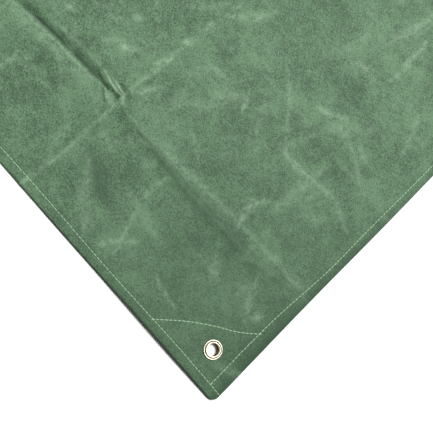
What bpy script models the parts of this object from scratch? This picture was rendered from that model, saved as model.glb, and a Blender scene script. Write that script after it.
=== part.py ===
"""Waxed canvas tarp, laid open with the creases of its packet.

The sheet is a grid whose lines follow the fold creases. Its height is worked out
from the table of folds, and Solidify gives it the thickness of cloth and hem. Each
corner has a sewn patch under the sheet and a two-part metal eyelet.
Metres, +Z up, origin under the middle of the tarp on the surface it lies on.
"""

from math import exp, pi, radians, sin, sqrt

import bmesh
import bpy
import numpy as np

# ---------------------------------------------------------------- driving sizes
LENGTH = 0.910          # finished size along X
WIDTH = 0.900           # finished size along Y
CLOTH = 0.0010          # thickness of one layer of waxed canvas
HEM = 0.0024            # thickness of the hem, cloth turned twice
HEM_WIDTH = 0.013
HEM_STEP = 0.0004       # the hem's inner edge drops to one layer over this much
HEM_RUNOUT = 0.034      # distance from the edge where one layer lies flat again
CORNER_RADIUS = 0.008
EDGE_SWAY = 0.0007      # a sewn edge wanders in and out by this much
GAP = 0.0003            # clearance between touching pieces

PATCH = 0.0010          # thickness of a corner patch
PATCH_LEG_X = 0.126     # its legs, measured from the tarp's corner
PATCH_LEG_Y = 0.106
PATCH_BOW = 0.003       # its long side bows outward by this much
PATCH_INSET = HEM_WIDTH + 2 * HEM_STEP
PATCH_RUNOUT = 0.014    # how far past the patch the cloth stays raised by it

EYELET_IN_X = 0.042     # eyelet centre from the tarp's corner
EYELET_IN_Y = 0.037
FLANGE_RADIUS = 0.0108
THROAT_RADIUS = 0.0068
BARREL_RADIUS = 0.0073
HOLE_RADIUS = 0.0077    # punched through cloth and patch, and the washer's bore
WASHER_RADIUS = 0.0107
WASHER = 0.0008
ROLL_RADIUS = 0.0091    # the barrel's end, rolled out over the washer
ROLL = 0.0008
TURNED_STEPS = 24

SEAT_RISE = 0.0023      # the cloth is lifted this much more to clear washer and roll
SEAT_FLAT = 0.018       # and is level this far from the eyelet's centre
SEAT_RUNOUT = 0.036

LIFT_HEIGHT = 0.0035    # the front edge stands off the surface beside the +X corner
LIFT_FROM = -0.040      # the raised stretch, as distances from that corner
LIFT_TO = 0.225
LIFT_DEPTH = 0.055      # and it fades this far into the cloth
RELIEF_FLOOR = 0.0004   # relief below this is pressed flat, and joins the rest softly

CREST = 0.0022          # rounding of a crease
TURN_LENGTH = 0.012     # a cross fold turns over within this distance of a down fold

# Folds that run front to back. "at" is the distance from the +X edge and foot the breadth of
# its ridge. Sway is how far the crease strays from "at", and height how high it stands, each
# at the PATH_STATIONS along it. The stiff hems hold every fold low at its two ends.
PATH_STATIONS = (0.0, 0.10, 0.20, 0.32, 0.55, 0.91)
DOWN_FOLDS = (
    # name,     at,    foot
    ("down_1", 0.303, 0.009,
     # sway along it, then height along it
     (-0.001, -0.002, 0.001, -0.013, -0.002, 0.003),
     (0.0012, 0.0026, 0.0026, 0.0028, 0.0032, 0.0010)),
    ("down_2", 0.607, 0.011,
     (0.003, 0.002, -0.003, -0.001, 0.004, -0.002),
     (0.0010, 0.0028, 0.0030, 0.0026, 0.0030, 0.0010)),
)
# Folds that run side to side. "at" is the distance from the front edge. turn is +1 where the
# crease is a ridge in the panel beside the +X edge and -1 where it is a trough there; it
# changes at every down fold, as in a sheet that was folded the other way first.
CROSS_FOLDS = (
    # name,      at,    turn, foot
    ("cross_1", 0.130, 1, 0.012,
     # sway along it, then height along it
     (0.022, 0.003, -0.001, 0.003, -0.020, 0.002),
     (0.0008, 0.0026, 0.0024, 0.0046, 0.0052, 0.0012)),
    ("cross_2", 0.285, 1, 0.014,
     (0.004, 0.002, -0.003, -0.002, 0.003, 0.000),
     (0.0006, 0.0014, 0.0016, 0.0018, 0.0030, 0.0010)),
    ("cross_3", 0.440, -1, 0.015,
     (-0.003, 0.000, 0.002, 0.003, -0.002, 0.001),
     (0.0006, 0.0014, 0.0020, 0.0024, 0.0036, 0.0010)),
    ("cross_4", 0.596, -1, 0.013,
     (0.002, -0.003, 0.000, 0.002, 0.003, -0.003),
     (0.0008, 0.0030, 0.0028, 0.0030, 0.0028, 0.0010)),
    ("cross_5", 0.752, -1, 0.012,
     (0.000, 0.003, 0.003, -0.002, -0.001, 0.004),
     (0.0010, 0.0034, 0.0030, 0.0034, 0.0030, 0.0012)),
)
TROUGH_FOOT = 1.4       # a trough is this much wider than a ridge

COLOURS = {
    "waxed_canvas": (0.098, 0.176, 0.102),
    "patch_canvas": (0.090, 0.160, 0.094),
    "nickelled_brass": (0.780, 0.760, 0.620),
}


# ---------------------------------------------------------------- shape of the cloth
def smooth(edge_0, edge_1, value):
    """0 below edge_0, 1 above edge_1, and a soft step between them."""
    t = min(1.0, max(0.0, (value - edge_0) / (edge_1 - edge_0)))
    return t * t * (3 - 2 * t)


def value_along(values, station):
    """A table's value at this distance along a crease, smoothly joined from station to station."""
    index = int(np.searchsorted(PATH_STATIONS, station, side="right")) - 1
    index = min(max(index, 0), len(values) - 2)
    part = smooth(PATH_STATIONS[index], PATH_STATIONS[index + 1], station)
    return values[index] + (values[index + 1] - values[index]) * part


def unevenness(station, phase):
    """A crease's height also varies a little from place to place."""
    return 0.95 + 0.15 * sin(station * 21 + phase) + 0.10 * sin(station * 53 + 2 * phase)


def ridge(distance, foot):
    """A rounded crest that falls away on both sides."""
    return exp(-(sqrt(distance ** 2 + CREST ** 2) - CREST) / foot)


def trough(distance, foot):
    """A crease that touches the surface between two low swells."""
    reach = (sqrt(distance ** 2 + CREST ** 2) - CREST) / (foot * TROUGH_FOOT)
    return reach * exp((1 - reach ** 2) / 2)


def fold_rise(p, q):
    """Height from all the folds, p from the +X edge and q from the front edge."""
    rise = 0.0
    turn_here = 1.0
    for phase, (_, at, foot, sway, height) in enumerate(DOWN_FOLDS):
        distance = p - at - value_along(sway, q)
        rise += value_along(height, q) * unevenness(q, phase) * ridge(distance, foot)
        turn_here *= 1 - 2 * smooth(-TURN_LENGTH, TURN_LENGTH, distance)
    for phase, (_, at, turn, foot, sway, height) in enumerate(CROSS_FOLDS):
        distance = q - at - value_along(sway, p)
        part = 0.5 + 0.5 * turn * turn_here
        shape = part * ridge(distance, foot) + (1 - part) * trough(distance, foot)
        rise += value_along(height, p) * unevenness(p, phase + 4) * shape
    above = max(0.0, rise - RELIEF_FLOOR)
    return above * above / (above + RELIEF_FLOOR)


def lift_rise(p, q):
    """The front edge's raised stretch beside the +X corner."""
    if not LIFT_FROM < p < LIFT_TO:
        return 0.0
    along = sin(pi * (p - LIFT_FROM) / (LIFT_TO - LIFT_FROM)) ** 2
    return LIFT_HEIGHT * along * (1 - smooth(0.0, LIFT_DEPTH, q))


def from_corner(x, y):
    """Distances from the nearest two edges."""
    return LENGTH / 2 - abs(x), WIDTH / 2 - abs(y)


def relief(x, y):
    """Height of the lowest cloth here: folds, raised edge, and a level seat at each eyelet."""
    p = LENGTH / 2 - x
    q = WIDTH / 2 + y
    in_x, in_y = from_corner(x, y)
    reach = sqrt((in_x - EYELET_IN_X) ** 2 + (in_y - EYELET_IN_Y) ** 2)
    seat = 1 - smooth(SEAT_FLAT, SEAT_RUNOUT, reach)
    return (fold_rise(p, q) + lift_rise(p, q)) * (1 - seat) + SEAT_RISE * seat


def patch_raise(in_x, in_y):
    """Height that a corner patch and its clearance give the cloth above it."""
    slope = sqrt(PATCH_LEG_X ** -2 + PATCH_LEG_Y ** -2)
    past = (in_x / PATCH_LEG_X + in_y / PATCH_LEG_Y - 1) / slope - PATCH_BOW
    return (PATCH + GAP) * (1 - smooth(PATCH_RUNOUT, 2 * PATCH_RUNOUT, past))


def underside(x, y):
    """Height of the single layer's underside, inside the hem."""
    in_x, in_y = from_corner(x, y)
    hem_side = (HEM - CLOTH) * (1 - smooth(HEM_WIDTH, HEM_RUNOUT, min(in_x, in_y)))
    return max(hem_side, patch_raise(in_x, in_y)) + relief(x, y)


def in_hem(x, y):
    return min(from_corner(x, y)) < HEM_WIDTH + HEM_STEP / 2


def cloth_top(x, y):
    if in_hem(x, y):
        return HEM + relief(x, y)
    return underside(x, y) + CLOTH


def patch_top(x, y):
    return underside(x, y) - GAP


# ---------------------------------------------------------------- lines of the grid
CORNER_LINES = (
    0.0,
    CORNER_RADIUS / 2,
    CORNER_RADIUS,
    HEM_WIDTH,
    HEM_WIDTH + HEM_STEP,
    PATCH_INSET,
)
SEAT_LINE = 0.0125      # a line this far to each side of an eyelet keeps its seat level
PATCH_PACE = 0.020      # spacing of the lines over the rest of a patch
WIDEST_PACE = 0.070
NEAREST_PACE = 0.006
FOLD_STEPS = (-3.0, -1.0, 0.0, 1.0, 3.0)    # lines beside a crease, in feet of its ridge


def lines_from(size, eyelet_in, reach, folds):
    """Grid lines across the sheet: dense at the corners and at the folds."""
    lines = set()
    near = list(CORNER_LINES) + [eyelet_in - SEAT_LINE, eyelet_in, eyelet_in + SEAT_LINE]
    pace = eyelet_in + SEAT_LINE + PATCH_PACE
    while pace < reach + PATCH_RUNOUT:
        near.append(pace)
        pace += PATCH_PACE
    for line in near:
        lines.update((line, size - line))
    for at, foot in folds:
        for step in FOLD_STEPS:
            lines.add(at + step * foot)
    kept = []
    for line in sorted(lines):
        on_fold = any(abs(line - at) < 1e-9 for at, _ in folds)
        crowded = kept and line - kept[-1] < NEAREST_PACE
        if crowded and HEM_RUNOUT < line < size - HEM_RUNOUT:
            if on_fold:
                kept[-1] = line
            continue
        kept.append(line)
    filled = [kept[0]]
    for line in kept[1:]:
        pieces = int((line - filled[-1]) / WIDEST_PACE) + 1
        start = filled[-1]
        filled += [start + (line - start) * k / pieces for k in range(1, pieces + 1)]
    return filled


def drawn_along(value, station, folds):
    """Moves a grid line so that it follows the creases beside it."""
    moved = value
    for at, sway, room in folds:
        share = max(0.0, 1 - abs(value - at) / room)
        moved += value_along(sway, station) * share
    return moved


def round_corner(in_x, in_y):
    """Turns the square of grid at a corner into a quarter disc."""
    if in_x >= CORNER_RADIUS or in_y >= CORNER_RADIUS:
        return in_x, in_y
    s = 1 - in_x / CORNER_RADIUS
    t = 1 - in_y / CORNER_RADIUS
    across = s * sqrt(1 - t * t / 2)
    along = t * sqrt(1 - s * s / 2)
    return CORNER_RADIUS * (1 - across), CORNER_RADIUS * (1 - along)


def place(p, q):
    """Where the grid point p from the +X edge and q from the front edge lies in X and Y."""
    down = [(at, sway, 0.10) for _, at, _, sway, _ in DOWN_FOLDS]
    cross = [(at, sway, 0.065) for _, at, _, _, sway, _ in CROSS_FOLDS]
    moved_p = drawn_along(p, q, down)
    moved_q = drawn_along(q, p, cross)
    x = LENGTH / 2 - moved_p
    y = moved_q - WIDTH / 2
    in_x, in_y = round_corner(*from_corner(x, y))
    edge_x = EDGE_SWAY * sin(pi * q / WIDTH * 3) ** 2 * max(0.0, 1 - in_x / HEM_WIDTH)
    edge_y = EDGE_SWAY * sin(pi * p / LENGTH * 4) ** 2 * max(0.0, 1 - in_y / HEM_WIDTH)
    x = np.sign(x) * (LENGTH / 2 - in_x - edge_x)
    y = np.sign(y) * (WIDTH / 2 - in_y - edge_y)
    return float(x), float(y)


# ---------------------------------------------------------------- building helpers
def clear_scene():
    for item in list(bpy.data.objects):
        bpy.data.objects.remove(item, do_unlink=True)


def new_collection(name):
    collection = bpy.data.collections.new(name)
    bpy.context.scene.collection.children.link(collection)
    return collection


def material(name, colour, roughness, metallic=0.0):
    finish = bpy.data.materials.new(name)
    finish.use_nodes = True
    shader = finish.node_tree.nodes["Principled BSDF"]
    shader.inputs["Base Color"].default_value = (*colour, 1.0)
    shader.inputs["Roughness"].default_value = roughness
    shader.inputs["Metallic"].default_value = metallic
    return finish


def grid_sheet(p_lines, q_lines, height):
    """An open sheet over the grid lines, its faces looking up."""
    sheet = bmesh.new()
    rows = []
    for q in q_lines:
        row = []
        for p in p_lines:
            x, y = place(p, q)
            row.append(sheet.verts.new((x, y, height(x, y))))
        rows.append(row)
    for low, high in zip(rows, rows[1:]):
        for k in range(len(p_lines) - 1):
            sheet.faces.new((low[k], high[k], high[k + 1], low[k + 1]))
    bmesh.ops.recalc_face_normals(sheet, faces=sheet.faces)
    if sum(face.normal.z for face in sheet.faces) < 0:
        bmesh.ops.reverse_faces(sheet, faces=sheet.faces)
    return sheet


def object_from(sheet, name, collection, finish):
    mesh = bpy.data.meshes.new(name)
    sheet.to_mesh(mesh)
    sheet.free()
    mesh.materials.append(finish)
    built = bpy.data.objects.new(name, mesh)
    collection.objects.link(built)
    return built


def punch(target, cutter):
    hole = target.modifiers.new("eyelet_hole", "BOOLEAN")
    hole.operation = "DIFFERENCE"
    hole.solver = "EXACT"
    hole.object = cutter


def eyelet_cutter(name, x, y, collection):
    bpy.ops.mesh.primitive_cylinder_add(
        vertices=TURNED_STEPS, radius=HOLE_RADIUS, depth=0.03, location=(x, y, 0.0)
    )
    cutter = bpy.context.active_object
    cutter.name = name
    cutter.display_type = "WIRE"
    cutter.hide_render = True
    for owner in list(cutter.users_collection):
        owner.objects.unlink(cutter)
    collection.objects.link(cutter)
    return cutter


def turned(name, profile, x, y, z, collection, finish):
    """A ring: a closed outline of (radius, height) turned about its own axis."""
    mesh = bpy.data.meshes.new(name)
    points = [(radius, 0.0, height) for radius, height in profile]
    count = len(points)
    mesh.from_pydata(points, [(k, (k + 1) % count) for k in range(count)], [])
    mesh.materials.append(finish)
    ring = bpy.data.objects.new(name, mesh)
    collection.objects.link(ring)
    ring.location = (x, y, z)
    screw = ring.modifiers.new("turned", "SCREW")
    screw.axis = "Z"
    screw.angle = radians(360)
    screw.steps = TURNED_STEPS
    screw.render_steps = TURNED_STEPS
    screw.use_merge_vertices = True
    screw.merge_threshold = 0.0001
    screw.use_smooth_shade = True
    return ring


# ---------------------------------------------------------------- the pieces
def make_cloth(collection, finish, cutters):
    down = [(at, foot) for _, at, foot, _, _ in DOWN_FOLDS]
    cross = [(at, foot) for _, at, _, foot, _, _ in CROSS_FOLDS]
    p_lines = lines_from(LENGTH, EYELET_IN_X, PATCH_LEG_X, down)
    q_lines = lines_from(WIDTH, EYELET_IN_Y, PATCH_LEG_Y, cross)
    cloth = object_from(grid_sheet(p_lines, q_lines, cloth_top), "cloth", collection, finish)
    hem = cloth.vertex_groups.new(name="hem")
    for vertex in cloth.data.vertices:
        hem.add([vertex.index], 1.0 if in_hem(vertex.co.x, vertex.co.y) else 0.0, "REPLACE")
    shell = cloth.modifiers.new("thickness", "SOLIDIFY")
    shell.thickness = HEM
    shell.offset = -1.0
    shell.vertex_group = hem.name
    shell.thickness_vertex_group = CLOTH / HEM
    for cutter in cutters:
        punch(cloth, cutter)
    return p_lines, q_lines


def cut_long_side(sheet, side_x, side_y):
    """Cuts the patch's long side in two straight runs that meet at the bow."""
    corner = (side_x * LENGTH / 2, side_y * WIDTH / 2)
    middle = (
        PATCH_LEG_X / 2 + PATCH_BOW * PATCH_LEG_Y / (PATCH_LEG_X + PATCH_LEG_Y),
        PATCH_LEG_Y / 2 + PATCH_BOW * PATCH_LEG_X / (PATCH_LEG_X + PATCH_LEG_Y),
    )
    ends = ((PATCH_LEG_X, 0.0), middle, (0.0, PATCH_LEG_Y))
    for (x_0, y_0), (x_1, y_1) in zip(ends, ends[1:]):
        outward = (-side_x * (y_1 - y_0), -side_y * (x_0 - x_1), 0.0)
        bmesh.ops.bisect_plane(
            sheet,
            geom=list(sheet.verts) + list(sheet.edges) + list(sheet.faces),
            plane_co=(corner[0] - side_x * x_0, corner[1] - side_y * y_0, 0.0),
            plane_no=outward,
            clear_outer=True,
        )


def make_patch(name, side_x, side_y, p_lines, q_lines, collection, finish, cutter):
    """The patch shares the cloth's grid lines, so the two lie evenly apart."""
    reach_x = (PATCH_INSET - 1e-6, PATCH_LEG_X + PATCH_RUNOUT)
    reach_y = (PATCH_INSET - 1e-6, PATCH_LEG_Y + PATCH_RUNOUT)
    near_p = [p for p in p_lines if reach_x[0] <= (p if side_x > 0 else LENGTH - p) <= reach_x[1]]
    near_q = [q for q in q_lines if reach_y[0] <= (q if side_y < 0 else WIDTH - q) <= reach_y[1]]
    sheet = grid_sheet(near_p, near_q, patch_top)
    cut_long_side(sheet, side_x, side_y)
    patch = object_from(sheet, name, collection, finish)
    shell = patch.modifiers.new("thickness", "SOLIDIFY")
    shell.thickness = PATCH
    shell.offset = -1.0
    punch(patch, cutter)


def eyelet_profile():
    """Outer side from the flange's dome down to the roll, then up the throat.

    Height 0 is the underside of the cloth."""
    flange = CLOTH + GAP
    washer_base = -GAP - PATCH - GAP - WASHER
    roll_top = washer_base - GAP
    return (
        (FLANGE_RADIUS - 0.0012, flange + 0.0018),
        (FLANGE_RADIUS, flange + 0.0010),
        (FLANGE_RADIUS, flange),
        (BARREL_RADIUS, flange),
        (BARREL_RADIUS, roll_top),
        (ROLL_RADIUS, roll_top),
        (ROLL_RADIUS - 0.0002, roll_top - ROLL),
        (THROAT_RADIUS, roll_top - ROLL),
        (THROAT_RADIUS, flange + 0.0014),
        (THROAT_RADIUS + 0.0006, flange + 0.0022),
        (THROAT_RADIUS + 0.0016, flange + 0.0014),
    )


def washer_profile():
    top = -GAP - PATCH - GAP
    return (
        (WASHER_RADIUS, top),
        (WASHER_RADIUS, top - WASHER * 0.6),
        (WASHER_RADIUS - 0.0006, top - WASHER),
        (HOLE_RADIUS, top - WASHER),
        (HOLE_RADIUS, top),
    )


def main():
    clear_scene()
    tarp = new_collection("waxed_canvas_tarp")
    guides = new_collection("cutters")
    canvas = material("waxed_canvas", COLOURS["waxed_canvas"], 0.62)
    patch_canvas = material("patch_canvas", COLOURS["patch_canvas"], 0.66)
    brass = material("nickelled_brass", COLOURS["nickelled_brass"], 0.28, 1.0)
    washer_brass = material("washer_brass", COLOURS["nickelled_brass"], 0.34, 1.0)

    corners = ((1, -1), (1, 1), (-1, 1), (-1, -1))
    places = [
        (side_x * (LENGTH / 2 - EYELET_IN_X), side_y * (WIDTH / 2 - EYELET_IN_Y))
        for side_x, side_y in corners
    ]
    cutters = [
        eyelet_cutter(f"eyelet_hole_{number}", x, y, guides)
        for number, (x, y) in enumerate(places, 1)
    ]
    p_lines, q_lines = make_cloth(tarp, canvas, cutters)
    seat = PATCH + GAP + SEAT_RISE
    for number, ((side_x, side_y), (x, y)) in enumerate(zip(corners, places), 1):
        make_patch(
            f"corner_patch_{number}", side_x, side_y, p_lines, q_lines,
            tarp, patch_canvas, cutters[number - 1],
        )
        turned(f"eyelet_{number}", eyelet_profile(), x, y, seat, tarp, brass)
        turned(f"washer_{number}", washer_profile(), x, y, seat, tarp, washer_brass)


main()
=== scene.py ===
"""Waxed canvas tarp lying open: its cloth, corner patches, seams, eyelets and the stage.

Laid out as a Blender add-on and run as a script. Lengths are in metres. p is the distance
from the +X edge of the tarp and q the distance from its front edge, at -Y.
"""

import math

import bmesh
import bpy
import numpy as np
from mathutils import Matrix, Vector


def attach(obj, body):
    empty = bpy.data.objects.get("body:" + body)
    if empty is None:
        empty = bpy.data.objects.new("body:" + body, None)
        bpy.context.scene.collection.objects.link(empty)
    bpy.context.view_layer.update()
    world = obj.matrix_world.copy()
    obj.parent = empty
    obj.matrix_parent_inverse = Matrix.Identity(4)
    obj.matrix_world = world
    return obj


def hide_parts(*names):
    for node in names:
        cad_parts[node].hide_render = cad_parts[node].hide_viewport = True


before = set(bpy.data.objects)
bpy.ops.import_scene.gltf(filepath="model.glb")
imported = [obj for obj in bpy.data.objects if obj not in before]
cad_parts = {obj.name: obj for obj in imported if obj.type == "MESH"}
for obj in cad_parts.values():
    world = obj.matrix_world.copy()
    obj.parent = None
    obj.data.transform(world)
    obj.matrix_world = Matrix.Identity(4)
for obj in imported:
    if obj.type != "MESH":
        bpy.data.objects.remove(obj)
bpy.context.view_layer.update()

bl_info = {
    "name": "Waxed canvas tarp",
    "version": (1, 0, 0),
    "blender": (4, 5, 0),
    "location": "View3D > Sidebar > Tarp",
    "description": "Builds a small waxed canvas tarp that lies open, with its seams and eyelets",
    "category": "Object",
}

PREFIX = "tarp"

# ---- sizes shared with the CAD
LENGTH = 0.910
WIDTH = 0.900
CLOTH = 0.0010
HEM = 0.0024
HEM_WIDTH = 0.013
HEM_STEP = 0.0004
HEM_RUNOUT = 0.034
CORNER_RADIUS = 0.008
EDGE_SWAY = 0.0007
GAP = 0.0003

PATCH = 0.0010
PATCH_LEG_X = 0.126
PATCH_LEG_Y = 0.106
PATCH_BOW = 0.003
PATCH_INSET = HEM_WIDTH + 2 * HEM_STEP
PATCH_RUNOUT = 0.014

EYELET_IN_X = 0.042
EYELET_IN_Y = 0.037
HOLE_RADIUS = 0.0077
SEAT_RISE = 0.0023
SEAT_FLAT = 0.018
SEAT_RUNOUT = 0.036
SEAT = PATCH + GAP + SEAT_RISE

# The front edge stands off the floor by the +X corner: how high, over which stretch, how far in
LIFT_HEIGHT = 0.0035
LIFT_FROM = -0.040
LIFT_TO = 0.225
LIFT_DEPTH = 0.055
RELIEF_FLOOR = 0.0004

CREST = 0.0022          # how blunt the top of a fold is
TURN_LENGTH = 0.012     # a crease turns from ridge to trough over this
TROUGH_FOOT = 1.4       # a trough is this many times broader than a ridge

# Folds that run front to back. "at" is the distance from the +X edge and foot the breadth of
# its ridge. Sway is how far the crease strays from "at", and height how high it stands, each
# at the PATH_STATIONS along it. The stiff hems hold every fold low at its two ends.
PATH_STATIONS = (0.0, 0.10, 0.20, 0.32, 0.55, 0.91)
DOWN_FOLDS = (
    # at,   foot
    (0.303, 0.009,
     # sway along it, then height along it
     (-0.001, -0.002, 0.001, -0.013, -0.002, 0.003),
     (0.0012, 0.0026, 0.0026, 0.0028, 0.0032, 0.0010)),
    (0.607, 0.011,
     (0.003, 0.002, -0.003, -0.001, 0.004, -0.002),
     (0.0010, 0.0028, 0.0030, 0.0026, 0.0030, 0.0010)),
)
# Folds that run side to side. "at" is the distance from the front edge. turn is +1 where the
# crease is a ridge in the panel beside the +X edge and -1 where it is a trough there; it
# changes at every down fold, as in a sheet that was folded the other way first.
CROSS_FOLDS = (
    # at,   turn, foot
    (0.130, 1, 0.012,
     # sway along it, then height along it
     (0.022, 0.003, -0.001, 0.003, -0.020, 0.002),
     (0.0008, 0.0026, 0.0024, 0.0046, 0.0052, 0.0012)),
    (0.285, 1, 0.014,
     (0.004, 0.002, -0.003, -0.002, 0.003, 0.000),
     (0.0006, 0.0014, 0.0016, 0.0018, 0.0030, 0.0010)),
    (0.440, -1, 0.015,
     (-0.003, 0.000, 0.002, 0.003, -0.002, 0.001),
     (0.0006, 0.0014, 0.0020, 0.0024, 0.0036, 0.0010)),
    (0.596, -1, 0.013,
     (0.002, -0.003, 0.000, 0.002, 0.003, -0.003),
     (0.0008, 0.0030, 0.0028, 0.0030, 0.0028, 0.0010)),
    (0.752, -1, 0.012,
     (0.000, 0.003, 0.003, -0.002, -0.001, 0.004),
     (0.0010, 0.0034, 0.0030, 0.0034, 0.0030, 0.0012)),
)
CORNERS = ((1, -1), (1, 1), (-1, 1), (-1, -1))

# ---- sizes of the finer cloth
# Grid lines of the hem and the cloth just inside it, as distances in from the edge
EDGE_LINES = (
    0.0, 0.00009, 0.00035, 0.00074, 0.0012, 0.0030, 0.0052, 0.0074, 0.0090,
    0.0097, 0.0104, 0.0111, 0.0118, 0.0130, 0.0134,
)
NEAR_REACH_P = 0.47     # the cloth is finest this far from the +X and front edges
NEAR_REACH_Q = 0.53
NEAR_PACE = 0.0026
PINCH_PACE = 0.0011     # finer still where the two sharpest creases cross
PINCH_P = (0.294, 0.336)
PINCH_Q = (0.115, 0.150)
FAR_PACE = 0.010
CREASE_PACE = 0.0034    # beside the far creases
CREASE_BAND = 0.010
UNDERSIDE_STRIDE = 4    # the underside has one line for this many of the top's
HOLE_SIDES = 48
FOLLOW_P = 0.10         # grid lines this near a fold follow its sway
FOLLOW_Q = 0.065
PATCH_LINES = 44        # grid lines across a patch, each way

SEAM_IN = 0.0105        # the hem's stitching, from the edge
SEAM_GROOVE = 0.00030   # how deep it pulls the cloth in
SEAM_GROOVE_WIDTH = 0.0012
UNDERSIDE_PULL = 1.5    # how many times deeper it pulls in the underside, which lies flat
SUNK_ABOVE = SEAM_GROOVE * 0.6      # how far the thread is sunk in each face
SUNK_BELOW = SEAM_GROOVE * UNDERSIDE_PULL + 0.00005
SEAM_DRIFT = 0.0060     # at the front it runs this much further in from the +X and -X edges
SEAM_DRIFT_SPAN = (0.10, 0.22)
SEAM_STATIONS = 420
SEAM_END = 0.003        # the stitching along the front and the back stops this short of the edge
SEAM_MEETING = 0.002    # and that of the other two hems stops this short of it
PUCKER = 0.00016        # height of the puckers beside it, and the length of one
PUCKER_LENGTH = 0.011
# The patch's stitching, as distances from the tarp's corner along X and Y
PATCH_SEAM = ((0.111, 0.0105), (0.085, 0.035), (0.059, 0.055), (0.036, 0.070), (0.0165, 0.087))
PATCH_SEAM_REACH = (0.14, 0.12)     # it pulls the cloth only within this of the corner
PATCH_SEAM_STEPS = 12

# The eyelet's radii and the thickness of its metal. The groove is painted dark brown as painted
# shade.
THROAT = 0.0068
BARREL = 0.0073
FLANGE = 0.0108
GROOVE = (0.0086, 0.0094)
WASHER = 0.0103
PLATE = 0.0008

# Swells of the whole cloth, from broad to fine
LUMPS = (
    # size,  height, seed
    (0.070, 0.00055, 3),
    (0.026, 0.00028, 8),
    (0.011, 0.00010, 5),
)

# Short creases in the cloth. height above 0 is a ridge and below 0 a groove, width is half
# its breadth, bow is how far its middle stands aside.
SHORT_CREASES = (
    # p_0,   q_0,   p_1,   q_1,   bow,    width,  height
    (0.460, 0.117, 0.386, 0.1285, 0.0000, 0.0022, -0.0012),
    (0.386, 0.1275, 0.330, 0.1315, 0.0000, 0.0020, -0.0013),
    (0.440, 0.128, 0.390, 0.136, 0.0010, 0.0050, 0.0008),
    (0.390, 0.136, 0.330, 0.142, 0.0000, 0.0050, 0.0010),
    (0.334, 0.1425, 0.304, 0.1385, 0.0006, 0.0014, 0.0012),
    (0.322, 0.1445, 0.304, 0.1420, 0.0000, 0.0013, 0.0011),
    (0.334, 0.1350, 0.319, 0.1340, 0.0000, 0.0014, -0.0020),
    (0.336, 0.1390, 0.314, 0.1370, 0.0000, 0.0028, 0.0013),
    (0.3225, 0.130, 0.311, 0.1215, 0.0000, 0.0011, -0.0016),
    (0.319, 0.131, 0.309, 0.125, 0.0000, 0.0030, 0.0009),
    (0.315, 0.1365, 0.304, 0.134, 0.0000, 0.0018, -0.0010),
    (0.314, 0.1470, 0.301, 0.1475, 0.0000, 0.0021, -0.0012),
    (0.304, 0.1385, 0.300, 0.137, 0.0000, 0.0034, 0.0010),
    (0.303, 0.124, 0.298, 0.100, 0.0020, 0.0024, 0.0008),
    (0.266, 0.128, 0.245, 0.130, 0.0000, 0.0020, -0.0009),
    (0.240, 0.136, 0.150, 0.138, 0.0020, 0.0070, 0.0009),
    (0.205, 0.112, 0.205, 0.062, 0.0020, 0.0035, 0.0006),
    (0.222, 0.141, 0.157, 0.153, 0.0030, 0.0035, 0.0006),
    (0.182, 0.050, 0.206, 0.020, 0.0020, 0.0030, 0.0005),
    (0.140, 0.043, 0.104, 0.036, 0.0010, 0.0022, 0.0004),
    (0.106, 0.243, 0.068, 0.257, 0.0010, 0.0030, 0.0005),
    (0.120, 0.188, 0.118, 0.148, 0.0060, 0.0035, 0.0005),
    (0.152, 0.308, 0.120, 0.330, 0.0030, 0.0035, 0.0005),
    (0.120, 0.404, 0.112, 0.476, 0.0030, 0.0035, 0.0006),
    (0.179, 0.272, 0.208, 0.309, 0.0020, 0.0030, 0.0005),
    (0.298, 0.288, 0.262, 0.341, 0.0040, 0.0050, 0.0006),
    (0.345, 0.176, 0.330, 0.184, 0.0010, 0.0026, 0.0006),
    (0.303, 0.168, 0.299, 0.207, 0.0020, 0.0028, 0.0006),
    (0.405, 0.062, 0.402, 0.090, 0.0010, 0.0028, 0.0005),
)

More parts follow.
